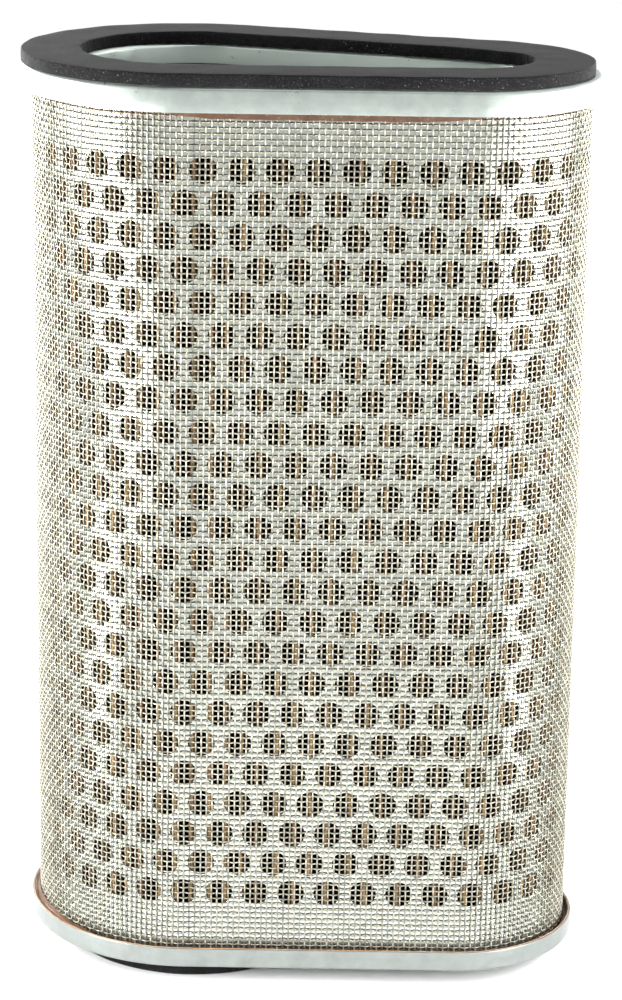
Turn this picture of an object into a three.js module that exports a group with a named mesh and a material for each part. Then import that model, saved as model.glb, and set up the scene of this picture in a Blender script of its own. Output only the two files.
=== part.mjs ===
// Oblong motorcycle air filter: a tall pleated-paper canister between two stamped steel end caps.
// The plan section is a tapered stadium, the hull of a wide round end (-X) and a narrow one (+X).
// Units are millimetres, +Z is up, and the origin is at the centre of the base.

import * as THREE from 'three';
import * as BufferGeometryUtils from 'three/addons/utils/BufferGeometryUtils.js';

// Plan section of the canister, measured on the outside of the wire cloth.
const END_SPACING = 61;
const WIDE_RADIUS = 35.4;
const NARROW_RADIUS = 25.9;
const WIDE_ARC_STEPS = 32;
const NARROW_ARC_STEPS = 24;

// Heights, from the underside of the foam pad to the top of the foam gasket.
const PAD_THICKNESS = 4.5;
const BODY_HEIGHT = 197.8;
const GASKET_THICKNESS = 2.75;

// Stamped end caps. An overhang is how far a rim stands out past the wire cloth.
const CAP_SHEET = 0.6;
const CAP_EDGE_RADIUS = 1;
const CAP_EDGE_STEPS = 3;
const TOP_OVERHANG = 1.5;
const TOP_RIM_HEIGHT = 5.5;
const BOTTOM_OVERHANG = 1.8;
const BOTTOM_RIM_HEIGHT = 4.6;
const OUTLET_INSET = 12.5;
const OUTLET_LIP_DEPTH = 4.5;

// Layers of the wall, as distances in from the outside of the wire cloth.
const CLOTH_INSET = 0;
const CLOTH_THICKNESS = 0.55;
const SLEEVE_INSET = 0.85;
const SLEEVE_SHEET = 0.6;
const PAPER_CREST_INSET = 1.9;
const PAPER_VALLEY_INSET = 10.5;
const CORE_INSET = 10.9;
const CORE_SHEET = 0.6;

// Rolled sheets meet edge to edge at a seam, placed along the outline from the front flank's start.
const SEAM_SLIT = 0.5;
const CLOTH_SEAM_AT = 1.7;
const SLEEVE_SEAM_AT = 240;
const CORE_SEAM_AT = 160;

// Pleated paper.
const PLEAT_COUNT = 82;
const PAPER_THICKNESS = 0.7;

// Self-adhesive foam: the gasket and the pad are stuck on by hand, a little off centre.
const FILM_THICKNESS = 0.2;
const FILM_MARGIN = 0.8;
const GASKET_OVERHANG = 0.95;
const GASKET_OPENING_INSET = 12.15;
const GASKET_SHIFT = new THREE.Vector2(-0.8, -1);
const PAD_RADIUS = 29.6;
const PAD_SHIFT = new THREE.Vector2(1.2, -1.8);
const PAD_SEGMENTS = 64;

// Potting adhesive: a layer in each cap that the walls end in, and a bead outside the wire cloth.
const POTTING_LAYER = 1.3;
const POTTING_RECESS = 0.6;
const CLEARANCE = 0.3;
const STACK_GAP = 0.05;

// Places worked out from the dimensions above.
const taper = Math.asin((WIDE_RADIUS - NARROW_RADIUS) / END_SPACING);
const flankLength = END_SPACING * Math.cos(taper);
const narrowArc = NARROW_RADIUS * (Math.PI - 2 * taper);
const wideArc = WIDE_RADIUS * (Math.PI + 2 * taper);
const outlineLength = 2 * flankLength + narrowArc + wideArc;
const narrowX = (END_SPACING + WIDE_RADIUS - NARROW_RADIUS) / 2;
const wideX = narrowX - END_SPACING;
const bottomCapZ = PAD_THICKNESS;
const topCapZ = bottomCapZ + BODY_HEIGHT;
const trayFloorZ = bottomCapZ + CAP_SHEET + STACK_GAP;
const channelCeilingZ = topCapZ - CAP_SHEET - STACK_GAP;
const wallBottomZ = trayFloorZ + POTTING_LAYER + CLEARANCE;
const wallTopZ = channelCeilingZ - POTTING_LAYER - CLEARANCE;

const steel = { color: 0xbcc4c2, roughness: 0.38, metalness: 0.85 };
const wire = { color: 0xd2d0c4, roughness: 0.3, metalness: 0.9 };
const foam = { color: 0x2b2b2d, roughness: 0.95, metalness: 0 };
const film = { color: 0xd8d6cc, roughness: 0.5, metalness: 0 };
const adhesive = { color: 0x7d5c40, roughness: 0.45, metalness: 0 };
const paper = { color: 0xa98d63, roughness: 0.9, metalness: 0 };

function arcPoint(centreX, radius, angle) {
  return new THREE.Vector2(centreX + radius * Math.cos(angle), radius * Math.sin(angle));
}

function flankPoint(along, side, offset) {
  const point = arcPoint(wideX, WIDE_RADIUS + offset, side * (Math.PI / 2 - taper));
  point.x += along * Math.cos(taper);
  point.y -= side * along * Math.sin(taper);
  return point;
}

// The point at a distance along the plan outline, moved outwards by an offset. The outline starts
// where the front flank leaves the wide end, and runs anticlockwise seen from above.
function outlinePoint(distance, offset) {
  const s = THREE.MathUtils.euclideanModulo(distance, outlineLength);
  const backStart = flankLength + narrowArc;
  const wideStart = backStart + flankLength;
  if (s < flankLength) {
    return flankPoint(s, -1, offset);
  }
  if (s < backStart) {
    const angle = taper - Math.PI / 2 + (s - flankLength) / NARROW_RADIUS;
    return arcPoint(narrowX, NARROW_RADIUS + offset, angle);
  }
  if (s < wideStart) {
    return flankPoint(wideStart - s, 1, offset);
  }
  const angle = Math.PI / 2 - taper + (s - wideStart) / WIDE_RADIUS;
  return arcPoint(wideX, WIDE_RADIUS + offset, angle);
}

// Distances of the facet corners, which every ring, cap and wall shares so that gaps stay even.
function outlineStations() {
  const stations = [];
  for (let i = 0; i <= NARROW_ARC_STEPS; i += 1) {
    stations.push(flankLength + (narrowArc * i) / NARROW_ARC_STEPS);
  }
  for (let i = 0; i <= WIDE_ARC_STEPS; i += 1) {
    stations.push(outlineLength - wideArc + (wideArc * i) / WIDE_ARC_STEPS);
  }
  return stations;
}

// Sweeps [offset, z] points round the outline. A closed profile makes a ring; an open one, which
// runs up the outside, makes a solid with a flat bottom and a flat top.
function sweep(profile, closed, shift = new THREE.Vector2()) {
  const stations = outlineStations();
  const rows = profile.length;
  const positions = [];
  const indices = [];
  for (const station of stations) {
    for (const [offset, z] of profile) {
      const point = outlinePoint(station, offset).add(shift);
      positions.push(point.x, point.y, z);
    }
  }
  for (let i = 0; i < stations.length; i += 1) {
    const next = (i + 1) % stations.length;
    for (let j = 0; j < (closed ? rows : rows - 1); j += 1) {
      const above = (j + 1) % rows;
      const corners = [i * rows + j, next * rows + j, next * rows + above, i * rows + above];
      indices.push(corners[0], corners[1], corners[2], corners[0], corners[2], corners[3]);
    }
  }
  for (let i = 1; !closed && i < stations.length - 1; i += 1) {
    const top = rows - 1;
    indices.push(0, (i + 1) * rows, i * rows);
    indices.push(top, i * rows + top, (i + 1) * rows + top);
  }
  const geometry = new THREE.BufferGeometry();
  geometry.setAttribute('position', new THREE.Float32BufferAttribute(positions, 3));
  geometry.setIndex(indices);
  geometry.computeVertexNormals();
  return geometry;
}

// A prism on a plan shape between two heights.
function prism(shape, bottomZ, topZ) {
  const settings = { depth: topZ - bottomZ, bevelEnabled: false };
  const geometry = new THREE.ExtrudeGeometry(shape, settings);
  geometry.translate(0, 0, bottomZ);
  geometry.deleteAttribute('uv');
  geometry.deleteAttribute('normal');
  const merged = BufferGeometryUtils.mergeVertices(geometry, 1e-4);
  merged.computeVertexNormals();
  return merged;
}

// A sheet rolled to the outline, open by a narrow slit at its seam.
function rolledSheet(inset, thickness, seamAt) {
  const from = seamAt + SEAM_SLIT / 2;
  const to = seamAt + outlineLength - SEAM_SLIT / 2;
  const twoTurns = outlineStations().flatMap((s) => [s, s + outlineLength]);
  const between = twoTurns.filter((s) => s > from && s < to).sort((a, b) => a - b);
  const stations = [from, ...between, to];
  const outside = stations.map((s) => outlinePoint(s, -inset));
  const inside = stations.map((s) => outlinePoint(s, -inset - thickness)).reverse();
  return prism(new THREE.Shape([...outside, ...inside]), wallBottomZ, wallTopZ);
}

// The rounded corner of a stamping, as [offset, z] points about the corner's centre.
function corner(centreOffset, centreZ, radius, fromAngle, toAngle) {
  const points = [];
  for (let i = 0; i <= CAP_EDGE_STEPS; i += 1) {
    const angle = THREE.MathUtils.lerp(fromAngle, toAngle, i / CAP_EDGE_STEPS);
    points.push([centreOffset + radius * Math.cos(angle), centreZ + radius * Math.sin(angle)]);
  }
  return points;
}

// A flat ring with its outer rim turned down, and a lip turned down round the outlet.
function topEndCap() {
  const right = Math.PI / 2;
  const innerRadius = CAP_EDGE_RADIUS - CAP_SHEET;
  const centreZ = topCapZ - CAP_EDGE_RADIUS;
  const rimCentre = TOP_OVERHANG - CAP_EDGE_RADIUS;
  const lipCentre = CAP_EDGE_RADIUS - OUTLET_INSET;
  const profile = [
    [TOP_OVERHANG, topCapZ - TOP_RIM_HEIGHT],
    ...corner(rimCentre, centreZ, CAP_EDGE_RADIUS, 0, right),
    ...corner(lipCentre, centreZ, CAP_EDGE_RADIUS, right, Math.PI),
    [-OUTLET_INSET, topCapZ - OUTLET_LIP_DEPTH],
    [CAP_SHEET - OUTLET_INSET, topCapZ - OUTLET_LIP_DEPTH],
    ...corner(lipCentre, centreZ, innerRadius, Math.PI, right),
    ...corner(rimCentre, centreZ, innerRadius, right, 0),
    [TOP_OVERHANG - CAP_SHEET, topCapZ - TOP_RIM_HEIGHT],
  ];
  return sweep(profile, true);
}

// A shallow closed tray with its rim turned up.
function bottomEndCap() {
  const right = Math.PI / 2;
  const centreZ = bottomCapZ + CAP_EDGE_RADIUS;
  const rimCentre = BOTTOM_OVERHANG - CAP_EDGE_RADIUS;
  const rimTopZ = bottomCapZ + BOTTOM_RIM_HEIGHT;
  const profile = [
    ...corner(rimCentre, centreZ, CAP_EDGE_RADIUS, -right, 0),
    [BOTTOM_OVERHANG, rimTopZ],
    [BOTTOM_OVERHANG - CAP_SHEET, rimTopZ],
    ...corner(rimCentre, centreZ, CAP_EDGE_RADIUS - CAP_SHEET, 0, -right),
  ];
  return sweep(profile, false);
}

function bottomPotting() {
  const outer = BOTTOM_OVERHANG - CAP_SHEET - CLEARANCE;
  const beadTopZ = bottomCapZ + BOTTOM_RIM_HEIGHT - POTTING_RECESS;
  const profile = [
    [outer - CAP_EDGE_RADIUS, trayFloorZ],
    [outer, trayFloorZ + CAP_EDGE_RADIUS],
    [outer, beadTopZ],
    [CLEARANCE, beadTopZ],
    [CLEARANCE, trayFloorZ + POTTING_LAYER],
  ];
  return sweep(profile, false);
}

function topPotting() {
  const outer = TOP_OVERHANG - CAP_SHEET - CLEARANCE;
  const inner = CAP_SHEET - OUTLET_INSET + CLEARANCE;
  const beadBottomZ = topCapZ - TOP_RIM_HEIGHT + POTTING_RECESS;
  const profile = [
    [outer, beadBottomZ],
    [outer, channelCeilingZ - CAP_EDGE_RADIUS],
    [outer - CAP_EDGE_RADIUS, channelCeilingZ],
    [inner + CAP_EDGE_RADIUS, channelCeilingZ],
    [inner, channelCeilingZ - CAP_EDGE_RADIUS],
    [inner, channelCeilingZ - POTTING_LAYER],
    [CLEARANCE, channelCeilingZ - POTTING_LAYER],
    [CLEARANCE, beadBottomZ],
  ];
  return sweep(profile, true);
}

// Zig-zag paper whose folds alternate between the sleeve and the core all the way round.
function pleatedPaper() {
  const step = outlineLength / PLEAT_COUNT;
  const half = PAPER_THICKNESS / 2;
  const outside = [];
  const inside = [];
  for (let i = 0; i < PLEAT_COUNT; i += 1) {
    const crest = (i + 0.25) * step;
    const valley = (i + 0.75) * step;
    outside.push(outlinePoint(crest - half, -PAPER_CREST_INSET));
    outside.push(outlinePoint(crest + half, -PAPER_CREST_INSET));
    outside.push(outlinePoint(valley, PAPER_THICKNESS - PAPER_VALLEY_INSET));
    inside.push(outlinePoint(crest, -PAPER_CREST_INSET - PAPER_THICKNESS));
    inside.push(outlinePoint(valley - half, -PAPER_VALLEY_INSET));
    inside.push(outlinePoint(valley + half, -PAPER_VALLEY_INSET));
  }
  const shape = new THREE.Shape(outside);
  shape.holes.push(new THREE.Path(inside));
  return prism(shape, wallBottomZ, wallTopZ);
}

// A flat ring cut to the cap's outline, shifted with the gasket.
function gasketRing(outerOffset, openingInset, bottomZ, topZ) {
  const profile = [
    [outerOffset, bottomZ],
    [outerOffset, topZ],
    [-openingInset, topZ],
    [-openingInset, bottomZ],
  ];
  return sweep(profile, true, GASKET_SHIFT);
}

function foamGasket() {
  const bottomZ = topCapZ + FILM_THICKNESS + 2 * STACK_GAP;
  return gasketRing(GASKET_OVERHANG, GASKET_OPENING_INSET, bottomZ, topCapZ + GASKET_THICKNESS);
}

function gasketFilm() {
  const bottomZ = topCapZ + STACK_GAP;
  const outer = GASKET_OVERHANG - FILM_MARGIN;
  const opening = GASKET_OPENING_INSET - FILM_MARGIN;
  return gasketRing(outer, opening, bottomZ, bottomZ + FILM_THICKNESS);
}

// A round disc under the wide end.
function padDisc(radius, bottomZ, topZ) {
  const geometry = new THREE.CylinderGeometry(radius, radius, topZ - bottomZ, PAD_SEGMENTS);
  geometry.rotateX(Math.PI / 2);
  geometry.translate(wideX + PAD_SHIFT.x, PAD_SHIFT.y, (bottomZ + topZ) / 2);
  return geometry;
}

const filmTopZ = bottomCapZ - STACK_GAP;
const padTopZ = filmTopZ - FILM_THICKNESS - STACK_GAP;

const pieces = [
  ['bottom_foam_pad', padDisc(PAD_RADIUS, 0, padTopZ), foam],
  ['pad_adhesive_film', padDisc(PAD_RADIUS - FILM_MARGIN, filmTopZ - FILM_THICKNESS, filmTopZ), film],
  ['bottom_end_cap', bottomEndCap(), steel],
  ['bottom_potting_adhesive', bottomPotting(), adhesive],
  ['outer_wire_cloth', rolledSheet(CLOTH_INSET, CLOTH_THICKNESS, CLOTH_SEAM_AT), wire],
  ['outer_perforated_sleeve', rolledSheet(SLEEVE_INSET, SLEEVE_SHEET, SLEEVE_SEAM_AT), steel],
  ['pleated_paper', pleatedPaper(), paper],
  ['inner_perforated_core', rolledSheet(CORE_INSET, CORE_SHEET, CORE_SEAM_AT), steel],
  ['top_potting_adhesive', topPotting(), adhesive],
  ['top_end_cap', topEndCap(), steel],
  ['gasket_adhesive_film', gasketFilm(), film],
  ['top_foam_gasket', foamGasket(), foam],
];

const filter = new THREE.Group();
for (const [name, geometry, finish] of pieces) {
  const mesh = new THREE.Mesh(geometry, new THREE.MeshStandardMaterial(finish));
  mesh.name = name;
  filter.add(mesh);
}

export default filter;
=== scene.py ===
"""Oblong motorcycle air filter: the final meshes and materials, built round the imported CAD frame.

Lengths are in millimetres until a mesh is made. A place on the canister's wall is given by the
distance along the plan outline, the inset from the outside of the wire cloth, and the height.
"""
import math

import bpy
import numpy as np
from mathutils import Matrix, Vector


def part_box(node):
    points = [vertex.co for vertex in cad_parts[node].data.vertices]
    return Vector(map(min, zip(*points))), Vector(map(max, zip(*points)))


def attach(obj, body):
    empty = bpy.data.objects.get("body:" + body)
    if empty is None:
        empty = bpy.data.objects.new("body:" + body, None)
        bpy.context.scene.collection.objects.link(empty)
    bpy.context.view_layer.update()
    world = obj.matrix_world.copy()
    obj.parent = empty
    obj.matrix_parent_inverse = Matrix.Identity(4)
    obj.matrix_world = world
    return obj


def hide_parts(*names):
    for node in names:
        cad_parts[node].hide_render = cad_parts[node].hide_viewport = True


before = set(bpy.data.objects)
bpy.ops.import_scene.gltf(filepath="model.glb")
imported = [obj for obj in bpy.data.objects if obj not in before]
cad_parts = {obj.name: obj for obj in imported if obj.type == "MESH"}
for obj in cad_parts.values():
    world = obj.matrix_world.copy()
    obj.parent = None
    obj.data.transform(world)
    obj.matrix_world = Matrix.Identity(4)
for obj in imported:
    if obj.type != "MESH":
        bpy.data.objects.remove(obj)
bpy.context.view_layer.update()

MM = 0.001

# Plan outline of the canister, the same tapered stadium as the CAD solids.
END_SPACING = 61.0
WIDE_RADIUS = 35.4
NARROW_RADIUS = 25.9
TAPER = math.asin((WIDE_RADIUS - NARROW_RADIUS) / END_SPACING)
FLANK = END_SPACING * math.cos(TAPER)
BACK_START = FLANK + NARROW_RADIUS * (math.pi - 2 * TAPER)
WIDE_START = BACK_START + FLANK
OUTLINE = WIDE_START + WIDE_RADIUS * (math.pi + 2 * TAPER)
NARROW_X = (END_SPACING + WIDE_RADIUS - NARROW_RADIUS) / 2
WIDE_X = NARROW_X - END_SPACING


def heights(node):
    """The lowest and highest z of a CAD node, in millimetres."""
    low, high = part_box(node)
    return low[2] / MM, high[2] / MM


CAP_BOTTOM, TRAY_RIM_TOP = heights("bottom_end_cap")
CAP_RIM_BOTTOM, CAP_TOP = heights("top_end_cap")
WALL_BOTTOM, WALL_TOP = heights("outer_wire_cloth")
GASKET_BOTTOM, GASKET_TOP = heights("top_foam_gasket")
PAD_BOTTOM, PAD_TOP = heights("bottom_foam_pad")
TOP_POTTING_TOP = heights("top_potting_adhesive")[1]
TRAY_FLOOR = heights("bottom_potting_adhesive")[0]

# Stamped caps.
CAP_SHEET = 0.6
CAP_EDGE = 1.0
TOP_OVERHANG = 1.5
BOTTOM_OVERHANG = 1.8
OUTLET_INSET = 12.5
LIP_DEPTH = 4.5

# Wire cloth and perforated sheets.
WIRE = 0.36
WIRE_COUNT = 256
WIRE_SKEW = 0.8
SEAM_AT = 1.7
SLEEVE_INSET = 0.84
SLEEVE_HOLE = 5.8
CORE_INSET = 11.0
CORE_HOLE = 4.6
SHEET = 0.55
HOLE_COLUMNS = 39
HOLE_PITCH = OUTLINE / (HOLE_COLUMNS + 0.5)
HOLE_ROW_PITCH = 7.07
HOLE_ROWS = 24
LOWEST_HOLES = 21.9
HOLE_START = -12.5

# Pleated paper.
PLEATS = 82
PAPER = 0.55
CREST_INSET = 1.85
VALLEY_INSET = 10.4


def outline(distance, offset=0.0):
    """x and y of places on the plan outline, moved outwards by an offset. Arrays broadcast."""
    s, offset = np.broadcast_arrays(np.mod(distance, OUTLINE), offset)
    front = s < FLANK
    narrow = (s >= FLANK) & (s < BACK_START)
    back = (s >= BACK_START) & (s < WIDE_START)
    right = math.pi / 2
    angle = np.select(
        [front, narrow, back],
        [TAPER - right + 0 * s, TAPER - right + (s - FLANK) / NARROW_RADIUS, right - TAPER + 0 * s],
        right - TAPER + (s - WIDE_START) / WIDE_RADIUS,
    )
    along = np.select([front, back], [s, WIDE_START - s], 0.0)
    radius = np.where(narrow, NARROW_RADIUS, WIDE_RADIUS) + offset
    x = np.where(narrow, NARROW_X, WIDE_X) + radius * np.cos(angle) + along * math.cos(TAPER)
    y = radius * np.sin(angle) + along * math.sin(TAPER) * np.where(front, 1.0, -1.0)
    return x, y


def place(distance, offset, z, shift=(0.0, 0.0)):
    """Points of the wall as an array whose last axis is x, y, z."""
    x, y = outline(distance, offset)
    return np.stack(np.broadcast_arrays(x + shift[0], y + shift[1], z), axis=-1)


def even_stations(count):
    """Distances round the outline, closer together on its arcs than on its flanks."""
    bends = [0.0, FLANK, BACK_START, WIDE_START, OUTLINE]
    shares = [0.12, 0.33, 0.12, 0.43]
    spans = [
        np.linspace(start, end, max(2, round(count * share)), endpoint=False)
        for start, end, share in zip(bends, bends[1:], shares)
    ]
    return np.concatenate(spans)


def ripple(distance, z, seed, scale):
    """A smooth random field on the wall, between about -1 and 1, that closes round the outline."""
    source = np.random.default_rng(seed)
    total = np.zeros(np.broadcast(distance, z).shape)
    waves = 9
    for _ in range(waves):
        turns = source.integers(1, max(2, int(OUTLINE / scale)) + 1)
        rise = source.uniform(-1, 1) / scale
        phase = source.uniform(0, 2 * math.pi)
        total = total + np.sin(2 * math.pi * (turns * distance / OUTLINE + rise * z) + phase)
    return total / math.sqrt(waves) / 1.5


# Meshes.


def make_piece(name, points, faces, material, node=None, smooth=35.0, shade=None):
    """A mesh piece from points in millimetres and arrays of faces, riding on the one body.

    shade is a number for each point, which the material can read.
    """
    points = np.asarray(points, np.float32).reshape(-1, 3) * MM
    faces = [np.asarray(group, np.int32) for group in faces if len(group)]
    mesh = bpy.data.meshes.new(name)
    mesh.vertices.add(len(points))
    mesh.vertices.foreach_set("co", points.ravel())
    corners = np.concatenate([group.ravel() for group in faces])
    sizes = np.concatenate([np.full(len(group), group.shape[1], np.int32) for group in faces])
    mesh.loops.add(len(corners))
    mesh.loops.foreach_set("vertex_index", corners)
    mesh.polygons.add(len(sizes))
    starts = np.concatenate([[0], np.cumsum(sizes)[:-1]]).astype(np.int32)
    mesh.polygons.foreach_set("loop_start", starts)
    mesh.polygons.foreach_set("use_smooth", np.ones(len(sizes), bool))
    mesh.update(calc_edges=True)
    if smooth is not None:
        mesh.set_sharp_from_angle(angle=math.radians(smooth))
    if shade is not None:
        layer = mesh.attributes.new("shade", "FLOAT", "POINT")
        layer.data.foreach_set("value", np.asarray(shade, np.float32).ravel())
    mesh.materials.append(material)
    piece = bpy.data.objects.new(name, mesh)
    bpy.context.scene.collection.objects.link(piece)
    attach(piece, "root")
    if node:
        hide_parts(node)
    return piece


def grid_faces(rows, columns, wrap_rows=False, wrap_columns=False, first=0):
    """Quads of a grid of points stored row by row."""
    i = np.arange(rows if wrap_rows else rows - 1)[:, None]
    j = np.arange(columns if wrap_columns else columns - 1)[None, :]
    next_i = (i + 1) % rows
    next_j = (j + 1) % columns
    quads = [
        i * columns + j,
        next_i * columns + j,
        next_i * columns + next_j,
        i * columns + next_j,
    ]
    return first + np.stack(np.broadcast_arrays(*quads), axis=-1).reshape(-1, 4)


def swept_ring(
    name, profile, material, node, count=260, shift=(0.0, 0.0), wobble=None, shade=None
):
    """A closed [offset, z] profile swept round the outline. wobble bends the grid of points."""
    stations = even_stations(count)
    profile = np.array(profile)
    offsets = np.broadcast_to(profile[:, 0], (len(stations), len(profile))).copy()
    levels = np.broadcast_to(profile[:, 1], offsets.shape).copy()
    if wobble:
        offsets, levels = wobble(stations[:, None], offsets, levels)
    points = place(stations[:, None], offsets, levels, shift)
    faces = grid_faces(len(stations), len(profile), wrap_rows=True, wrap_columns=True)
    if shade is not None:
        shade = np.broadcast_to(shade, offsets.shape)
    return make_piece(name, points, [faces], material, node, shade=shade)


def round_corner(offset, z, radius, start, end, steps=6):
    """Points of an arc in the [offset, z] plane, with angles in degrees."""
    angles = np.radians(np.linspace(start, end, steps + 1))
    return [[offset + radius * math.cos(a), z + radius * math.sin(a)] for a in angles]


# Materials.


def new_material(name):
    """A material with its node tree and its shader."""
    material = bpy.data.materials.new(name)
    material.use_nodes = True
    tree = material.node_tree
    return material, tree, tree.nodes["Principled BSDF"]


def noise(tree, scale, detail=3.0, roughness=0.55, stretch=(1, 1, 1)):
    """A noise texture in the object's own space, per millimetre."""
    place_node = tree.nodes.new("ShaderNodeTexCoord")
    mapping = tree.nodes.new("ShaderNodeMapping")
    mapping.inputs["Scale"].default_value = [s / MM for s in stretch]
    texture = tree.nodes.new("ShaderNodeTexNoise")
    texture.inputs["Scale"].default_value = scale
    texture.inputs["Detail"].default_value = detail
    texture.inputs["Roughness"].default_value = roughness
    tree.links.new(place_node.outputs["Object"], mapping.inputs["Vector"])
    tree.links.new(mapping.outputs["Vector"], texture.inputs["Vector"])
    return texture.outputs["Fac"]


def ramp(tree, fac, stops):
    """A colour ramp from a list of (position, colour)."""
    node = tree.nodes.new("ShaderNodeValToRGB")
    elements = node.color_ramp.elements
    while len(elements) < len(stops):
        elements.new(0.5)
    for element, (position, colour) in zip(elements, stops):
        element.position = position
        element.color = (*colour, 1.0)
    tree.links.new(fac, node.inputs["Fac"])
    return node.outputs["Color"]


def spread(tree, fac, low, high, start=0.0, end=1.0):
    """Maps a value from one range to another."""
    node = tree.nodes.new("ShaderNodeMapRange")
    node.inputs["From Min"].default_value = start
    node.inputs["From Max"].default_value = end
    node.inputs["To Min"].default_value = low
    node.inputs["To Max"].default_value = high
    tree.links.new(fac, node.inputs["Value"])
    return node.outputs["Result"]


def mix(tree, fac, a, b, blend="MIX"):
    """Mixes two colours; each is a socket or a plain colour, and fac a socket or a number."""
    node = tree.nodes.new("ShaderNodeMix")
    node.data_type = "RGBA"
    node.blend_type = blend
    for socket, value in ((node.inputs[0], fac), (node.inputs[6], a), (node.inputs[7], b)):
        if isinstance(value, bpy.types.NodeSocket):
            tree.links.new(value, socket)
        elif isinstance(value, (int, float)):
            socket.default_value = value
        else:
            socket.default_value = (*value, 1.0)
    return node.outputs[2]


def bump(tree, shader, height, strength, distance):
    """Adds a bump in millimetres to the shader, on top of any it has."""
    node = tree.nodes.new("ShaderNodeBump")
    node.inputs["Strength"].default_value = strength
    node.inputs["Distance"].default_value = distance * MM
    tree.links.new(height, node.inputs["Height"])
    normal = shader.inputs["Normal"]
    if normal.is_linked:
        tree.links.new(normal.links[0].from_socket, node.inputs["Normal"])
    tree.links.new(node.outputs["Normal"], normal)


def height_in_mm(tree):
    """The height above the ground plane, in millimetres."""
    place_node = tree.nodes.new("ShaderNodeTexCoord")
    split = tree.nodes.new("ShaderNodeSeparateXYZ")
    scale = tree.nodes.new("ShaderNodeMath")
    scale.operation = "MULTIPLY"
    scale.inputs[1].default_value = 1 / MM
    tree.links.new(place_node.outputs["Object"], split.inputs[0])
    tree.links.new(split.outputs["Z"], scale.inputs[0])
    return scale.outputs[0]


def product(tree, a, b):
    """Two values multiplied."""
    node = tree.nodes.new("ShaderNodeMath")
    node.operation = "MULTIPLY"
    tree.links.new(a, node.inputs[0])
    tree.links.new(b, node.inputs[1])
    return node.outputs[0]


def shade_of(tree):
    """The number that the mesh carries for each of its points."""
    node = tree.nodes.new("ShaderNodeAttribute")
    node.attribute_name = "shade"
    return node.outputs["Fac"]


def galvanised(name, dark, light, roughness, metallic=0.9, drawn=(0.03, 0.03, 1.0)):
    """Zinc-coated sheet: mottled, with fine drawing lines and dull patches.

    Where the mesh carries a shade, the sheet is painted brighter there, as painted light.
    """
    material, tree, shader = new_material(name)
    grain = noise(tree, 0.35, 4)
    lines = noise(tree, 1.6, 3, 0.6, drawn)
    tone = ramp(tree, grain, [(0.35, dark), (0.65, light)])
    streaked = mix(tree, spread(tree, lines, 0.0, 0.35, 0.35, 0.7), tone, dark)
    spots = spread(tree, noise(tree, 0.12, 3), 0.0, 0.6, 0.55, 0.75)
    dull = tuple(0.75 * c for c in dark)
    # Where the shade is set, a much brighter colour stands in for light falling on the outlet lip:
    # painted light.
    painted_lit_colour = tuple(2.4 * c for c in light)
    colour = mix(tree, shade_of(tree), mix(tree, spots, streaked, dull), painted_lit_colour)
    tree.links.new(colour, shader.inputs["Base Color"])
    shader.inputs["Metallic"].default_value = metallic
    rough = spread(tree, noise(tree, 0.25, 3), roughness - 0.03, roughness + 0.06, 0.3, 0.7)
    tree.links.new(rough, shader.inputs["Roughness"])
    bump(tree, shader, lines, 0.12, 0.02)
    return material


def wire_metal():
    """Drawn wire, each with its own tone, dulled by grease and stained where adhesive wicked in."""
    material, tree, shader = new_material("wire_metal")
    blotches = ramp(
        tree, noise(tree, 0.5, 3), [(0.35, (0.23, 0.22, 0.18)), (0.62, (0.335, 0.322, 0.266))]
    )
    own_tone = ramp(
        tree,
        shade_of(tree),
        [(0.0, (0.35, 0.34, 0.31)), (0.5, (0.86, 0.86, 0.84)), (0.85, (1, 1, 1))],
    )
    steel = mix(tree, 1.0, blotches, own_tone, "MULTIPLY")
    height = height_in_mm(tree)
    patchy = spread(tree, noise(tree, 0.12, 3), 0.25, 1.0, 0.4, 0.62)
    high = spread(tree, height, 0.0, 0.6, CAP_RIM_BOTTOM - 2.2, CAP_RIM_BOTTOM - 0.7)
    low = spread(tree, height, 0.75, 0.0, TRAY_RIM_TOP - 0.6, TRAY_RIM_TOP + 0.7)
    stained = mix(tree, product(tree, high, patchy), steel, (0.24, 0.13, 0.08))
    stained = mix(tree, low, stained, (0.1, 0.06, 0.035))
    tree.links.new(stained, shader.inputs["Base Color"])
    shader.inputs["Metallic"].default_value = 0.8
    rough = spread(tree, noise(tree, 2.5, 2), 0.32, 0.5, 0.35, 0.65)
    tree.links.new(rough, shader.inputs["Roughness"])
    return material


def filter_paper():
    """Resin-treated paper: tan and fibrous on the crests, painted nearly black down in the folds as
    painted shade.
    """
    material, tree, shader = new_material("filter_paper")
    # The shade runs from crest to valley; this ramp darkens the paper along it: painted shade in
    # the folds.
    depth = ramp(
        tree,
        shade_of(tree),
        [
            (0.0, (0.36, 0.235, 0.11)),
            (0.05, (0.22, 0.125, 0.055)),
            (0.18, (0.09, 0.045, 0.022)),
            (0.4, (0.015, 0.009, 0.006)),
        ],
    )
    patches = ramp(tree, noise(tree, 0.12, 3), [(0.3, (0.55, 0.5, 0.45)), (0.7, (1, 1, 1))])
    fold_shaded = mix(tree, 1.0, depth, patches, "MULTIPLY")
    fibres = noise(tree, 3.0, 5, 0.7, (1, 1, 0.35))
    pale_fibres = spread(tree, fibres, 0.0, 0.45, 0.45, 0.7)
    colour = mix(tree, pale_fibres, fold_shaded, (1.6, 1.6, 1.6), "MULTIPLY")
    tree.links.new(colour, shader.inputs["Base Color"])
    shader.inputs["Roughness"].default_value = 0.85
    shader.inputs["Specular IOR Level"].default_value = 0.2
    bump(tree, shader, fibres, 0.4, 0.05)
    return material


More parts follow.
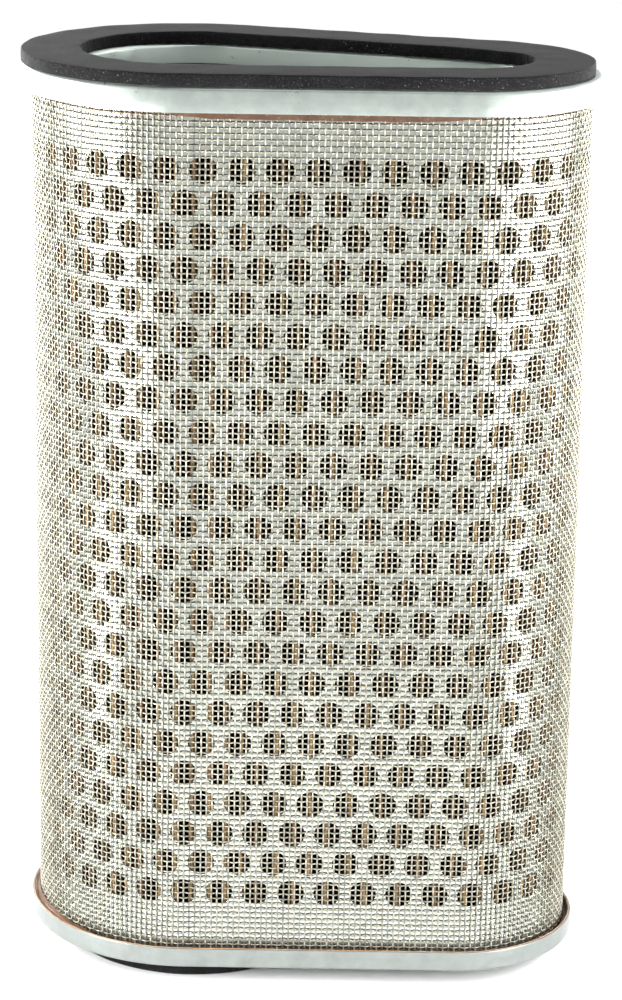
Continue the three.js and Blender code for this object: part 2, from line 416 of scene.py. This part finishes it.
def potting():
    """Brown adhesive: grainy, pale where it is thin over an edge, and dark in the troughs, partly
    its own deeper colour and partly painted shade.
    """
    material, tree, shader = new_material("brown_adhesive")
    # The ramp on the shade: dark where the layer lies deep, partly painted shade, up to pale where
    # it is thin.
    thinness_and_deep_shade = ramp(
        tree,
        shade_of(tree),
        [(0.0, (0.04, 0.022, 0.012)), (0.5, (0.13, 0.066, 0.036)), (1.0, (0.3, 0.19, 0.105))],
    )
    smears = ramp(tree, noise(tree, 0.2, 4), [(0.3, (0.6, 0.55, 0.5)), (0.7, (1, 1, 1))])
    grain = noise(tree, 1.6, 3, 0.7)
    colour = mix(tree, 1.0, thinness_and_deep_shade, smears, "MULTIPLY")
    colour = mix(tree, spread(tree, grain, 0.0, 0.35, 0.6, 0.72), colour, (0.5, 0.36, 0.2))
    tree.links.new(colour, shader.inputs["Base Color"])
    rough = spread(tree, noise(tree, 0.5, 3), 0.25, 0.55, 0.3, 0.7)
    tree.links.new(rough, shader.inputs["Roughness"])
    bump(tree, shader, noise(tree, 0.9, 3), 0.5, 0.15)
    return material


def black_foam():
    """Closed-cell foam: matt black skin with fine pores, pale dust and lint specks."""
    material, tree, shader = new_material("black_foam")
    pores = noise(tree, 2.6, 5, 0.75)
    tone = ramp(
        tree, noise(tree, 0.1, 4), [(0.3, (0.004, 0.004, 0.0045)), (0.7, (0.009, 0.009, 0.0095))]
    )
    dusty = mix(tree, spread(tree, pores, 0.0, 0.5, 0.52, 0.68), tone, (0.05, 0.05, 0.052))
    specks = spread(tree, noise(tree, 2.4, 1), 0.0, 1.0, 0.7, 0.74)
    patches = spread(tree, noise(tree, 0.06, 2), 0.1, 1.0, 0.45, 0.65)
    lint = mix(tree, product(tree, specks, patches), dusty, (0.2, 0.19, 0.165))
    tree.links.new(lint, shader.inputs["Base Color"])
    shader.inputs["Roughness"].default_value = 0.72
    shader.inputs["Specular IOR Level"].default_value = 0.04
    shader.inputs["Sheen Weight"].default_value = 0.09
    shader.inputs["Sheen Roughness"].default_value = 0.4
    bump(tree, shader, pores, 0.6, 0.12)
    return material


def film():
    """Thin translucent carrier film of the self-adhesive foam."""
    material, tree, shader = new_material("adhesive_film")
    tone = ramp(tree, noise(tree, 0.3, 3), [(0.3, (0.6, 0.57, 0.48)), (0.7, (0.75, 0.73, 0.66))])
    tree.links.new(tone, shader.inputs["Base Color"])
    shader.inputs["Roughness"].default_value = 0.4
    bump(tree, shader, noise(tree, 1.0, 2), 0.3, 0.05)
    return material


CAP_STEEL = galvanised("cap_steel", (0.258, 0.289, 0.27), (0.305, 0.34, 0.317), 0.3, 0.6)
# The tray is the cap's steel painted about a third darker: painted shade at the foot of the
# canister.
TRAY_STEEL_SHADED = galvanised("tray_steel_shaded", (0.178, 0.194, 0.184), (0.206, 0.225, 0.214), 0.32, 0.7)
SHEET_STEEL = galvanised("sheet_steel", (0.45, 0.49, 0.46), (0.55, 0.59, 0.555), 0.15)
WIRE_LOOK = wire_metal()
PAPER_LOOK = filter_paper()
POTTING_LOOK = potting()
FOAM_LOOK = black_foam()
FILM_LOOK = film()


# Stamped caps.


def top_end_cap():
    """The ring, with a rim turned down outside and a lip round the outlet, which is painted
    brighter as painted light.
    """
    inner = CAP_EDGE - CAP_SHEET
    centre_z = CAP_TOP - CAP_EDGE
    rim = TOP_OVERHANG - CAP_EDGE
    lip = CAP_EDGE - OUTLET_INSET
    lip_end = CAP_TOP - LIP_DEPTH
    lit_lip_inside = -9.0
    profile = [
        [TOP_OVERHANG - 0.06, CAP_RIM_BOTTOM],
        [TOP_OVERHANG, CAP_RIM_BOTTOM + 0.12],
        [TOP_OVERHANG, CAP_RIM_BOTTOM + 2.2],
        *round_corner(rim, centre_z, CAP_EDGE, 0, 90),
        [-4.0, CAP_TOP],
        [-8.0, CAP_TOP],
        *round_corner(lip, centre_z, CAP_EDGE, 90, 180),
        [-OUTLET_INSET, lip_end + 0.08],
        [-OUTLET_INSET + 0.08, lip_end],
        [-OUTLET_INSET + CAP_SHEET, lip_end],
        *round_corner(lip, centre_z, inner, 180, 90, 3),
        *round_corner(rim, centre_z, inner, 90, 0, 3),
        [TOP_OVERHANG - CAP_SHEET, CAP_RIM_BOTTOM],
    ]
    # The lip inside the outlet carries a shade that paints its steel brighter: painted light.
    lip_painted_light = 0.9 * (np.array(profile)[:, 0] < lit_lip_inside)

    def stamping_waves(s, offsets, levels):
        outer = np.clip((offsets + 1.0) / 2.0, 0, 1)
        return offsets + 0.05 * outer * ripple(s, levels, 11, 30), levels

    return swept_ring(
        "top_cap_stamping", profile, CAP_STEEL, "top_end_cap", 420,
        wobble=stamping_waves, shade=lip_painted_light,
    )


def bottom_end_cap():
    """The tray, whose floor is closed by rows of points that shrink to the long axis."""
    inner = CAP_EDGE - CAP_SHEET
    centre_z = CAP_BOTTOM + CAP_EDGE
    rim = BOTTOM_OVERHANG - CAP_EDGE
    inside = BOTTOM_OVERHANG - CAP_SHEET
    floor = (-22.0, -14.0, -6.0)
    profile = [
        *[[offset, CAP_BOTTOM] for offset in floor],
        *round_corner(rim, centre_z, CAP_EDGE, -90, 0),
        [BOTTOM_OVERHANG, TRAY_RIM_TOP - 0.12],
        [BOTTOM_OVERHANG - 0.1, TRAY_RIM_TOP],
        [inside + 0.1, TRAY_RIM_TOP],
        [inside, TRAY_RIM_TOP - 0.12],
        *round_corner(rim, centre_z, inner, 0, -90, 3),
        *[[offset, CAP_BOTTOM + CAP_SHEET] for offset in reversed(floor)],
    ]
    stations = even_stations(420)
    profile = np.array(profile)
    offsets = np.broadcast_to(profile[:, 0], (len(stations), len(profile)))
    levels = np.broadcast_to(profile[:, 1], offsets.shape)
    upright = np.clip((levels - CAP_BOTTOM - 1.0) / 3.0, 0, 1)
    offsets = offsets + 0.05 * upright * ripple(stations[:, None], levels, 12, 30)
    points = place(stations[:, None], offsets, levels)
    walls = grid_faces(len(stations), len(profile), wrap_rows=True)
    ring = np.arange(len(stations)) * len(profile)
    lids = [ring[::-1][None, :], (ring + len(profile) - 1)[None, :]]
    return make_piece(
        "bottom_cap_tray", points, [walls, *lids], TRAY_STEEL_SHADED, "bottom_end_cap"
    )


top_end_cap()
bottom_end_cap()


# Wire cloth: a plain weave of upright and level wires.

WIRE_PITCH = OUTLINE / WIRE_COUNT
UPRIGHT_CRIMP = 0.44 * WIRE
LEVEL_CRIMP = WIRE - UPRIGHT_CRIMP
CLOTH_MIDDLE = -WIRE / 2 - LEVEL_CRIMP
STEPS_PER_CROSSING = 3
WIRE_SIDES = 6
SEAM_WIRE = round(SEAM_AT / WIRE_PITCH)
WIRE_GROUPS = 16
WIRE_WANDER = 0.05
FIRST_CROSSING = 0.2
BRIGHT_LEVEL_WIRES = 9


def skewed(distance, z):
    """The cloth was wrapped slightly askew, so its upright wires lean."""
    return distance + WIRE_SKEW * (z - WALL_BOTTOM) / (WALL_TOP - WALL_BOTTOM) - WIRE_SKEW / 2


def wire_ring(across, outwards, radius):
    """Offsets of a wire's surface points from its centre line, along two directions."""
    angles = 2 * math.pi * np.arange(WIRE_SIDES) / WIRE_SIDES
    return radius * np.cos(angles) * across, radius * np.sin(angles) * outwards


def own_tones(count, seed):
    """A random tone for each wire."""
    return np.random.default_rng(seed).uniform(0.35, 1.0, count)


def upright_wires(name, indexes, tones, radius=WIRE / 2, sink=0.0, node=None):
    """One piece of upright wires, each woven in and out from its foot to its top."""
    crossings = int((WALL_TOP - WALL_BOTTOM) / WIRE_PITCH)
    turn = np.arange(crossings * STEPS_PER_CROSSING + 1) / STEPS_PER_CROSSING
    z = WALL_BOTTOM + (turn + FIRST_CROSSING) * WIRE_PITCH
    sideways, outwards = wire_ring(1.0, 1.0, radius)
    points, walls, lids = [], [], []
    rim = np.arange(WIRE_SIDES)
    for index in indexes:
        drift = WIRE_WANDER * ripple(index * WIRE_PITCH, z, 21, 18)
        crimp = UPRIGHT_CRIMP * np.cos(math.pi * (turn + index))
        centre = skewed(index * WIRE_PITCH, z) + drift
        offset = CLOTH_MIDDLE - sink + crimp
        grid = place(centre[:, None] + sideways, offset[:, None] + outwards, z[:, None])
        first = len(points) * len(z) * WIRE_SIDES
        points.append(grid.reshape(-1, 3))
        walls.append(grid_faces(len(z), WIRE_SIDES, wrap_columns=True, first=first))
        last = first + (len(z) - 1) * WIRE_SIDES
        lids.append(np.stack([first + rim, (last + rim)[::-1]]))
    shade = np.repeat(tones[list(indexes)], len(z) * WIRE_SIDES)
    faces = [np.concatenate(walls), np.concatenate(lids)]
    points = np.concatenate(points)
    return make_piece(name, points, faces, WIRE_LOOK, node, None, shade)


def level_wires(name, indexes, tones):
    """One piece of level wires, each a closed loop woven round the canister."""
    turn = np.arange(WIRE_COUNT * STEPS_PER_CROSSING) / STEPS_PER_CROSSING
    s = turn * WIRE_PITCH
    upwards, outwards = wire_ring(1.0, 1.0, WIRE / 2)
    points, faces = [], []
    for index in indexes:
        z = WALL_BOTTOM + (index + FIRST_CROSSING) * WIRE_PITCH
        height = z + WIRE_WANDER * ripple(s, z, 22, 18)
        offset = CLOTH_MIDDLE - LEVEL_CRIMP * np.cos(math.pi * (turn + index))
        grid = place(skewed(s, z)[:, None], offset[:, None] + outwards, height[:, None] + upwards)
        first = len(points) * len(s) * WIRE_SIDES
        points.append(grid.reshape(-1, 3))
        faces.append(grid_faces(len(s), WIRE_SIDES, True, True, first)[:, ::-1])
    shade = np.repeat(tones[list(indexes)], len(s) * WIRE_SIDES)
    points, faces = np.concatenate(points), np.concatenate(faces)
    return make_piece(name, points, [faces], WIRE_LOOK, None, None, shade)


def wire_cloth():
    """Both sets of wires. A thin wire marks the seam; it and the wire beside it are painted dark,
    as painted shade of the overlap, and a few level wires are brighter.
    """
    tones = own_tones(WIRE_COUNT, 61)
    # The seam wire gets the darkest tone and the wire beside it a dark one: painted shade of the
    # cloth's overlap at the seam.
    tones[SEAM_WIRE] = 0.0
    tones[SEAM_WIRE + 1] = 0.25
    full = [i for i in range(WIRE_COUNT) if i != SEAM_WIRE]
    for number, indexes in enumerate(np.array_split(full, WIRE_GROUPS)):
        node = "outer_wire_cloth" if number == 0 else None
        upright_wires(f"cloth_upright_wires_{number + 1}", indexes, tones, node=node)
    upright_wires("cloth_seam_wire", [SEAM_WIRE], tones, 0.35 * WIRE, 0.1)
    levels = int((WALL_TOP - WALL_BOTTOM) / WIRE_PITCH) + 1
    tones = 0.8 * own_tones(levels, 62)
    tones[np.random.default_rng(64).choice(levels, BRIGHT_LEVEL_WIRES, replace=False)] = 1.0
    for number, indexes in enumerate(np.array_split(np.arange(levels), WIRE_GROUPS)):
        level_wires(f"cloth_level_wires_{number + 1}", indexes, tones)


wire_cloth()


# Perforated sheets.

EDGE_STEPS = 8
SIDE_STEPS = 4
MARGIN_STEPS = 5
SEAM_COLUMN = 17


def welded(points, quads):
    """Joins points that coincide, so that cells made one by one form one closed surface."""
    _, first, back = np.unique(
        np.round(points, 3), axis=0, return_index=True, return_inverse=True
    )
    return points[first], back.reshape(-1)[quads]


def hole_cell(hole, squeeze):
    """Loops round one hole: from the cell's border in to the hole outside, and back inside.

    Each loop is distances along the outline, heights and a depth, about the hole's centre.
    """
    half_s, half_z = HOLE_PITCH / 2, HOLE_ROW_PITCH / 2
    across = np.linspace(-half_s, half_s, EDGE_STEPS, endpoint=False)
    up = np.linspace(-half_z, half_z, SIDE_STEPS, endpoint=False)
    sides, ends = np.full(SIDE_STEPS, half_s), np.full(EDGE_STEPS, half_z)
    border_s = np.concatenate([across, sides, -across, -sides])
    border_z = np.concatenate([-ends, up, ends, -up])
    angle = np.arctan2(border_z, border_s * squeeze)
    rim_s, rim_z = hole / 2 * np.cos(angle) / squeeze, hole / 2 * np.sin(angle)
    burr = 0.08
    lip = 1 + 2 * burr / hole
    return [
        (border_s, border_z, 0.0),
        (rim_s * lip, rim_z * lip, 0.0),
        (rim_s, rim_z, burr),
        (rim_s, rim_z, SHEET),
        (border_s, border_z, SHEET),
    ]


def perforated_sheet(name, node, inset, hole):
    """A rolled sheet of staggered round holes, with plain margins and a plain seam at the back."""
    loops = hole_cell(hole, 1 - 2 * math.pi * inset / OUTLINE)
    cell_faces = grid_faces(len(loops), len(loops[0][0]), wrap_columns=True)[:, ::-1]
    seam_line = HOLE_START - (SEAM_COLUMN + 0.5) * HOLE_PITCH
    seam_s = np.linspace(0, HOLE_PITCH / 2, EDGE_STEPS // 2 + 1)
    seam_z = np.linspace(-HOLE_ROW_PITCH / 2, HOLE_ROW_PITCH / 2, SIDE_STEPS + 1)
    points, quads, count = [], [], 0

    def add(grid, faces):
        nonlocal count
        grid = grid.reshape(-1, 3)
        points.append(grid)
        quads.append(faces + count)
        count += len(grid)

    for row in range(HOLE_ROWS):
        z = LOWEST_HOLES + row * HOLE_ROW_PITCH
        start = seam_line + (HOLE_PITCH / 2 if row % 2 else HOLE_PITCH)
        for column in range(HOLE_COLUMNS):
            s = start + column * HOLE_PITCH
            cell = [place(s + ds, -inset - depth, z + dz) for ds, dz, depth in loops]
            add(np.concatenate(cell), cell_faces)
        strip = start - HOLE_PITCH
        for depth, turn_over in ((0.0, 1), (SHEET, -1)):
            grid = place(strip + seam_s[None, :], -inset - depth, z + seam_z[:, None])
            add(grid, grid_faces(len(seam_z), len(seam_s))[:, ::-turn_over])
    s = seam_line + np.arange((2 * HOLE_COLUMNS + 1) * EDGE_STEPS // 2) * HOLE_PITCH / EDGE_STEPS
    lowest = LOWEST_HOLES - HOLE_ROW_PITCH / 2
    highest = lowest + HOLE_ROWS * HOLE_ROW_PITCH
    below = np.linspace(WALL_BOTTOM, lowest, MARGIN_STEPS)
    above = np.linspace(highest, WALL_TOP, MARGIN_STEPS)
    margins = [
        [(SHEET, z) for z in below[::-1]] + [(0.0, z) for z in below],
        [(0.0, z) for z in above] + [(SHEET, z) for z in above[::-1]],
    ]
    for margin in margins:
        grid = np.stack([place(s, -inset - depth, z) for depth, z in margin])
        add(grid, grid_faces(len(margin), len(s), wrap_columns=True)[:, ::-1])
    points, quads = welded(np.concatenate(points), np.concatenate(quads))
    make_piece(name, points, [quads], SHEET_STEEL, node)


perforated_sheet("perforated_sleeve", "outer_perforated_sleeve", SLEEVE_INSET, SLEEVE_HOLE)
perforated_sheet("perforated_core", "inner_perforated_core", CORE_INSET, CORE_HOLE)


# Pleated paper: one strip folded to and fro between the sleeve and the core.

PLEAT_LEVELS = 24


def pleated_paper():
    """The paper, whose shade is the depth into the folds, from 0 on a crest to 1 in a valley. The
    material paints the folds darker by it, as painted shade.
    """
    source = np.random.default_rng(5)
    step = OUTLINE / PLEATS
    fold = 0.42
    turn = np.radians([-90, -45, 0, 45, 90])
    z = np.linspace(WALL_BOTTOM, WALL_TOP, PLEAT_LEVELS)[:, None]
    distances, offsets = [], []
    shifts = source.uniform(-0.35, 0.35, PLEATS) * step / 2
    for pleat in range(PLEATS):
        crest = (pleat + 0.25) * step + shifts[pleat]
        valley = (pleat + 0.75) * step + (shifts[pleat] + shifts[(pleat + 1) % PLEATS]) / 2
        for angle in turn:
            distances.append(crest + fold * math.sin(angle))
            offsets.append(-CREST_INSET - fold * (1 - math.cos(angle)))
        for angle in turn:
            distances.append(valley + fold * 1.3 * math.sin(angle))
            offsets.append(-VALLEY_INSET + fold * (1 - math.cos(angle)))
    distances, offsets = np.array(distances), np.array(offsets)
    wander = 0.35 * ripple(distances, z, 31, 14)
    line = np.stack(outline(distances + wander, offsets), axis=-1)
    along = np.roll(line, -1, axis=1) - np.roll(line, 1, axis=1)
    along /= np.linalg.norm(along, axis=-1, keepdims=True)
    normal = np.stack([along[..., 1], -along[..., 0]], axis=-1)
    levels = np.broadcast_to(z[..., None], (*line.shape[:2], 1))
    outer_face = np.concatenate([line, levels], axis=-1)
    inner_face = np.concatenate([line - PAPER * normal, levels], axis=-1)
    grid = np.concatenate([outer_face, inner_face[::-1]])
    quads = grid_faces(len(grid), grid.shape[1], wrap_rows=True, wrap_columns=True)[:, ::-1]
    depth = np.clip((offsets + CREST_INSET) / (CREST_INSET - VALLEY_INSET), 0, 1)
    shade = np.broadcast_to(depth, grid.shape[:2])
    make_piece(
        "paper_pleats", grid, [quads], PAPER_LOOK, "pleated_paper", 60.0, shade
    )


pleated_paper()


# Potting adhesive. The ends are places on the outline, near the middles of its two arcs.

WIDE_END = 250.0
NARROW_END = 97.0


def hump(s, centre, reach, power=2):
    """1 at a place on the outline, falling to 0 at a reach each way."""
    away = np.mod(s - centre + OUTLINE / 2, OUTLINE) - OUTLINE / 2
    return np.exp(-(np.abs(away / reach) ** power) * 2)


def bottom_potting():
    """The poured layer in the tray. It climbs the rim and smears thinly over its edge."""
    inside = BOTTOM_OVERHANG - CAP_SHEET - 0.05
    stations = even_stations(700)[:, None]
    fill = 0.15 + 1.5 * hump(stations, WIDE_END, 55, 4) + 0.2 * hump(stations, NARROW_END, 30)
    level = TRAY_RIM_TOP - 1.75 + fill + 0.15 * ripple(stations, 0, 41, 9)
    level = np.minimum(level + 0.08 * ripple(stations, 0, 42, 3), TRAY_RIM_TOP - 0.05)
    smear = 0.3 + 0.2 * hump(stations, WIDE_END + 12, 50, 6)
    smear = smear + 0.14 * ripple(stations, 0, 44, 5) + 0.07 * ripple(stations, 0, 45, 1.6)
    lump = 0.04 + 0.035 * ripple(stations, 0, 46, 2.5)
    climb = 0.25 + 0.9 * hump(stations, WIDE_END, 50, 4)
    pale = 1.0 + 0 * stations
    # Darker where the layer lies low in the trough, lighter where it stands high at the wide end:
    # partly the adhesive's own colour, partly painted shade.
    trough_shade = 0.1 + 0.45 * hump(stations, WIDE_END, 62, 4)
    profile = [
        *[(offset, TRAY_FLOOR, 0.3) for offset in (-20.0, -12.0, -5.0, -0.8, inside - 0.9)],
        (inside - 0.25, TRAY_FLOOR + 0.3, 0.3),
        (inside, TRAY_FLOOR + 0.9, 0.3),
        (inside, TRAY_RIM_TOP - 0.12, pale),
        (inside + 0.08, TRAY_RIM_TOP + 0.03, pale),
        (inside + smear, TRAY_RIM_TOP + 0.04, pale),
        (inside + smear - 0.03, TRAY_RIM_TOP + 0.08 + lump, pale),
        (inside + smear / 2, TRAY_RIM_TOP + 0.14 + lump, pale),
        (inside - 0.1, TRAY_RIM_TOP + 0.02, 0.75 * pale),
        (inside - 0.22, np.maximum(TRAY_RIM_TOP - 0.5, level + 0.1), trough_shade),
        (inside - 0.4, np.maximum(TRAY_RIM_TOP - 1.0, level + 0.03), trough_shade * 0.7),
        (0.75 * inside - 0.1, level, trough_shade * 0.6),
        (0.35 * inside, level, trough_shade * 0.7),
        (0.15, level + 0.25 * climb, trough_shade),
        (0.03, level + climb, trough_shade),
        (-0.05, level + 0.1, trough_shade),
        (-0.3, TRAY_FLOOR + 1.3, 0.3),
        *[(offset, TRAY_FLOOR + 1.3, 0.3) for offset in (-0.9, -5.0, -12.0, -20.0)],
    ]
    shape = (len(stations), 1)
    offsets, levels, shade = [
        np.concatenate([np.broadcast_to(value, shape) for value in values], axis=1)
        for values in zip(*profile)
    ]
    points = place(stations, offsets, levels)
    count = points.shape[1]
    walls = grid_faces(len(stations), count, wrap_rows=True)
    ring = np.arange(len(stations)) * count
    lids = [ring[::-1][None, :], (ring + count - 1)[None, :]]
    make_piece(
        "tray_potting", points, [walls, *lids], POTTING_LOOK,
        "bottom_potting_adhesive", shade=shade,
    )


def top_potting():
    """The layer in the cap's channel; its bead hangs below the rim along part of the front."""
    outer = TOP_OVERHANG - CAP_SHEET - 0.05
    inner = CAP_SHEET + 0.1 - OUTLET_INSET
    ceiling = TOP_POTTING_TOP
    layer = ceiling - 1.3
    profile = [
        [0.95, CAP_RIM_BOTTOM],
        [outer, CAP_RIM_BOTTOM + 0.3],
        [outer, CAP_RIM_BOTTOM + 1.5],
        [outer, ceiling - 0.5],
        [outer - 0.5, ceiling],
        [-6.0, ceiling],
        [inner + 0.5, ceiling],
        [inner, ceiling - 0.5],
        [inner, layer],
        [-6.0, layer],
        [-0.9, layer],
        [0.02, layer],
        [0.02, CAP_RIM_BOTTOM + 1.0],
        [0.02, CAP_RIM_BOTTOM],
        [0.3, CAP_RIM_BOTTOM - 0.1],
        [0.7, CAP_RIM_BOTTOM - 0.1],
    ]
    strip_middle, strip_reach = 29.0, 36.0

    def bead(s, offsets, levels):
        strip = hump(s, strip_middle, strip_reach, 8)
        hang = 1.9 * strip + 0.35 * hump(s, NARROW_END, 26) + 0.12 * ripple(s, 0, 43, 6) - 0.6
        low = (levels < CAP_RIM_BOTTOM + 0.1) * (offsets < 1.0)
        return offsets, levels - low * np.maximum(hang, -0.75)

    stations = even_stations(500)[:, None]
    shade = 0.7 - 0.45 * hump(stations, strip_middle, strip_reach, 8)
    swept_ring(
        "channel_potting", profile, POTTING_LOOK, "top_potting_adhesive", 500,
        wobble=bead, shade=shade,
    )


bottom_potting()
top_potting()


# Self-adhesive foam.

GASKET_SHIFT = (-0.8, -1.0)
GASKET_OVERHANG = 0.95
GASKET_OPENING = 12.15
PAD_SHIFT = (1.2, -1.8)
PAD_RADIUS = 29.6


def foam_gasket():
    """The ring, with its cut edges pressed down past the carrier film on to the cap."""
    soft = 0.4
    low, edge = GASKET_BOTTOM, CAP_TOP + 0.03
    profile = [
        [GASKET_OVERHANG - 0.75, low],
        [GASKET_OVERHANG - 0.72, edge],
        [GASKET_OVERHANG - 0.1, edge],
        [GASKET_OVERHANG, edge + 0.12],
        [GASKET_OVERHANG + 0.03, (low + GASKET_TOP) / 2],
        *round_corner(GASKET_OVERHANG - soft, GASKET_TOP - soft, soft, 0, 90, 5),
        *[[offset, GASKET_TOP] for offset in (-2.0, -4.0, -6.0, -8.0, -10.0)],
        *round_corner(soft - GASKET_OPENING, GASKET_TOP - soft, soft, 90, 180, 5),
        [-GASKET_OPENING - 0.03, (low + GASKET_TOP) / 2],
        [-GASKET_OPENING, edge + 0.12],
        [0.1 - GASKET_OPENING, edge],
        [0.72 - GASKET_OPENING, edge],
        [0.75 - GASKET_OPENING, low],
        *[[offset, low] for offset in (-10.0, -8.0, -6.0, -4.0, -2.0)],
    ]
    wide_corner = BACK_START - 6.0

    def cut_by_hand(s, offsets, levels):
        sideways = 0.1 * ripple(s, 0, 51, 12) + 0.05 * ripple(s, levels * 3, 52, 2.5)
        inner = np.clip((-6.0 - offsets) / 6.0, 0, 1)
        sideways = sideways - 1.6 * inner * hump(s, wide_corner, 16)
        above = np.clip((levels - low) / (GASKET_TOP - low), 0, 1)
        sag = -0.06 * above * (1 + ripple(s, offsets, 53, 9))
        return offsets + sideways, levels + sag

    gasket = swept_ring(
        "foam_gasket_ring", profile, FOAM_LOOK, "top_foam_gasket", 900,
        shift=GASKET_SHIFT, wobble=cut_by_hand,
    )


def lathe_disc(name, radius, profile, material, node, segments=160):
    """A disc under the wide end from [radius share, z] points, from the middle below to above."""
    turn = 2 * math.pi * np.arange(segments) / segments
    source = np.array(profile)
    reach = radius * source[:, 0]
    uneven = 1 + 0.002 * np.sin(5 * turn + 1) + 0.0015 * np.sin(11 * turn)
    x = WIDE_X + PAD_SHIFT[0] + np.cos(turn)[:, None] * reach * uneven[:, None]
    y = PAD_SHIFT[1] + np.sin(turn)[:, None] * reach * uneven[:, None]
    z = np.broadcast_to(source[:, 1], x.shape)
    walls = grid_faces(segments, len(profile), wrap_rows=True)
    ring = np.arange(segments) * len(profile)
    lids = [ring[::-1][None, :], (ring + len(profile) - 1)[None, :]]
    points = np.stack([x, y, z], axis=-1)
    return make_piece(name, points, [walls, *lids], material, node)


def foam_pad():
    """The round pad, with slightly softened edges."""
    low, high = PAD_BOTTOM, PAD_TOP
    shares = (0.2, 0.4, 0.6, 0.8, 0.9, 0.97)
    profile = [
        *[[share, low] for share in shares],
        [0.985, low + 0.06],
        [0.996, low + 0.35],
        [1.002, (low + high) / 2],
        [0.998, high - 0.35],
        [0.988, high],
        *[[share, high] for share in reversed(shares)],
    ]
    pad = lathe_disc("foam_pad_disc", PAD_RADIUS, profile, FOAM_LOOK, "bottom_foam_pad")


def films():
    """The carrier films of the pad and the gasket."""
    low, high = heights("pad_adhesive_film")
    profile = [[0.3, low], [0.97, low], [0.973, (low + high) / 2], [0.97, high], [0.3, high]]
    lathe_disc(
        "pad_carrier_film", PAD_RADIUS, profile, FILM_LOOK, "pad_adhesive_film"
    )
    low, high = heights("gasket_adhesive_film")
    outer, inner = GASKET_OVERHANG - 1.1, 1.1 - GASKET_OPENING
    profile = [[outer, low], [outer, high], [-5.0, high], [inner, high], [inner, low], [-5.0, low]]
    swept_ring(
        "gasket_carrier_film", profile, FILM_LOOK, "gasket_adhesive_film",
        shift=GASKET_SHIFT,
    )


foam_gasket()
foam_pad()
films()


# Floor, light and camera.


def stage_floor():
    """A plain pale floor."""
    reach = 3.0
    mesh = bpy.data.meshes.new("studio_floor")
    corners = [(-reach, -reach, 0), (reach, -reach, 0), (reach, reach, 0), (-reach, reach, 0)]
    mesh.from_pydata(corners, [], [(0, 1, 2, 3)])
    floor = bpy.data.objects.new("studio_floor", mesh)
    bpy.context.scene.collection.objects.link(floor)
    material, _, shader = new_material("studio_floor")
    shader.inputs["Base Color"].default_value = (0.9, 0.9, 0.9, 1)
    shader.inputs["Roughness"].default_value = 0.6
    mesh.materials.append(material)


def black_flag():
    """A black card behind the camera, so that the metal has something dark to reflect."""
    mesh = bpy.data.meshes.new("black_flag")
    distance, half_width, bottom, top = 0.8, 0.45, 0.2, 0.8
    low, high = (-half_width, -distance), (half_width, -distance)
    corners = [(*low, bottom), (*high, bottom), (*high, top), (*low, top)]
    mesh.from_pydata(corners, [], [(0, 1, 2, 3)])
    flag = bpy.data.objects.new("black_flag", mesh)
    bpy.context.scene.collection.objects.link(flag)
    material, _, shader = new_material("black_flag")
    shader.inputs["Base Color"].default_value = (0.02, 0.02, 0.02, 1)
    shader.inputs["Roughness"].default_value = 0.9
    mesh.materials.append(material)
    flag.visible_camera = False


def area_light(name, azimuth, distance, height, size, radiance, target=None, cone=180):
    """A soft light at an azimuth from the front. It faces level, or towards a target height."""
    light = bpy.data.lights.new(name, "AREA")
    light.shape = "RECTANGLE"
    light.size, light.size_y = size[0] * MM, size[1] * MM
    light.energy = math.pi * light.size * light.size_y * radiance
    light.spread = math.radians(cone)
    lamp = bpy.data.objects.new(name, light)
    turn = math.radians(azimuth)
    lamp.location = Vector((math.sin(turn) * distance, -math.cos(turn) * distance, height)) * MM
    aim = Vector((0, 0, (height if target is None else target) * MM)) - lamp.location
    lamp.rotation_euler = aim.to_track_quat("-Z", "Z").to_euler()
    lamp.visible_camera = False
    bpy.context.scene.collection.objects.link(lamp)


def light_scene():
    """An even white studio: tall and low strips near the front, side panels, a box overhead."""
    world = bpy.data.worlds.new("studio")
    world.use_nodes = True
    background = world.node_tree.nodes["Background"]
    background.inputs["Color"].default_value = (1, 1, 1, 1)
    background.inputs["Strength"].default_value = 1.12
    bpy.context.scene.world = world
    area_light("left_strip", -57, 200, 150, (74, 300), 14.0, cone=140)
    area_light("left_low_strip", -57, 190, 34, (76, 60), 19.0)
    area_light("right_strip", 70, 200, 150, (78, 300), 13.5, cone=140)
    area_light("right_low_strip", 70, 190, 34, (78, 60), 13.0)
    area_light("left_panel", -125, 420, 170, (420, 340), 5.0)
    area_light("right_panel", 125, 420, 170, (420, 340), 2.2)
    area_light("overhead_box", 0, 330, 850, (600, 500), 2.35, target=100)
    bpy.context.scene.view_settings.view_transform = "Standard"


def aim_camera():
    """The camera at the photograph's viewing angle."""
    azimuth, elevation, roll = 9.25, 16.78, 0.79
    distance, focal_pixels, frame_height = 701.5, 3127.7, 1000
    target = Vector((1.26, 0.0, 104.2))
    a, e = math.radians(azimuth), math.radians(elevation)
    back = Vector((math.sin(a) * math.cos(e), -math.cos(a) * math.cos(e), math.sin(e)))
    data = bpy.data.cameras.new("camera")
    data.sensor_fit = "VERTICAL"
    data.sensor_height = 36
    data.lens = data.sensor_height * focal_pixels / frame_height
    data.clip_start = 0.05
    camera = bpy.data.objects.new("camera", data)
    look = (-back).to_track_quat("-Z", "Y").to_matrix().to_4x4()
    tilt = Matrix.Rotation(math.radians(roll), 4, "Z")
    camera.matrix_world = Matrix.Translation((target + back * distance) * MM) @ look @ tilt
    bpy.context.scene.collection.objects.link(camera)
    bpy.context.scene.camera = camera


stage_floor()
black_flag()
light_scene()
aim_camera()

bpy.context.view_layer.update()
